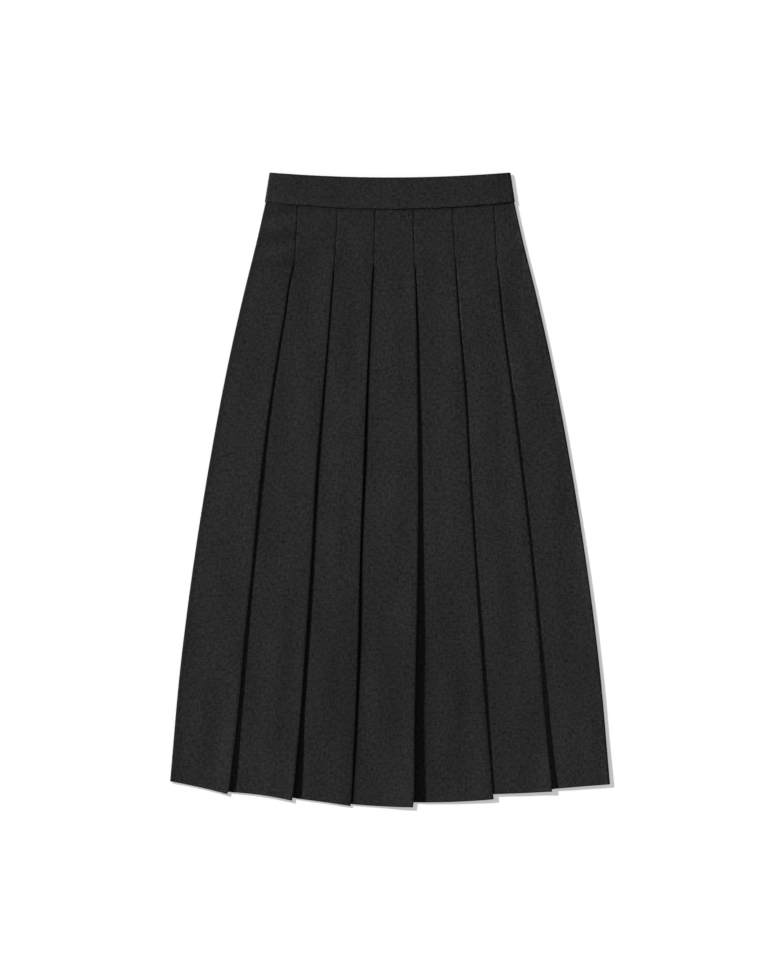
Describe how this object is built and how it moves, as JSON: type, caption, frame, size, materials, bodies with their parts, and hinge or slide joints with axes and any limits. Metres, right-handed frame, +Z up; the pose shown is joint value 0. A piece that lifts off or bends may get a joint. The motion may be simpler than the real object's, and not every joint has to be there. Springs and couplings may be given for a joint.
{
  "type": "pleated midi skirt",
  "caption": "Knife-pleated midi skirt laid flat, face up: plain waistband, pleats stitched down over the hips and open to the hem, zip at the centre back.",
  "frame": {"origin": "middle of the laid-flat skirt's outline, on the surface that it lies on", "axes": "+X to the viewer's right (the wearer's left), +Y from the hem to the waistband, +Z up, out of the front of the skirt"},
  "size_m": [0.5714, 0.8245, 0.0107],
  "materials": {
    "suiting": "charcoal melange wool-blend twill, matt with a faint nap",
    "waistband": "the same charcoal twill, folded double and pressed",
    "zip_tape": "black woven zip tape with a nylon coil",
    "zip_metal": "black lacquered metal, satin"
  },
  "bodies": {
    "skirt": {"front_panel": "suiting", "back_panel_left": "suiting", "back_panel_right": "suiting", "waistband_front": "waistband", "waistband_back_left": "waistband", "waistband_back_right": "waistband", "zip_tape": "zip_tape", "zip_slider": "zip_metal"},
    "zip_pull": {"zip_pull": "zip_metal"}
  },
  "joints": [
    {"name": "zip_pull_hinge", "type": "hinge", "parent": "skirt", "child": "zip_pull", "pos_m": [0, 0.3978, 0.00115], "axis": [1, 0, 0], "range_deg": [0, 170]}
  ]
}
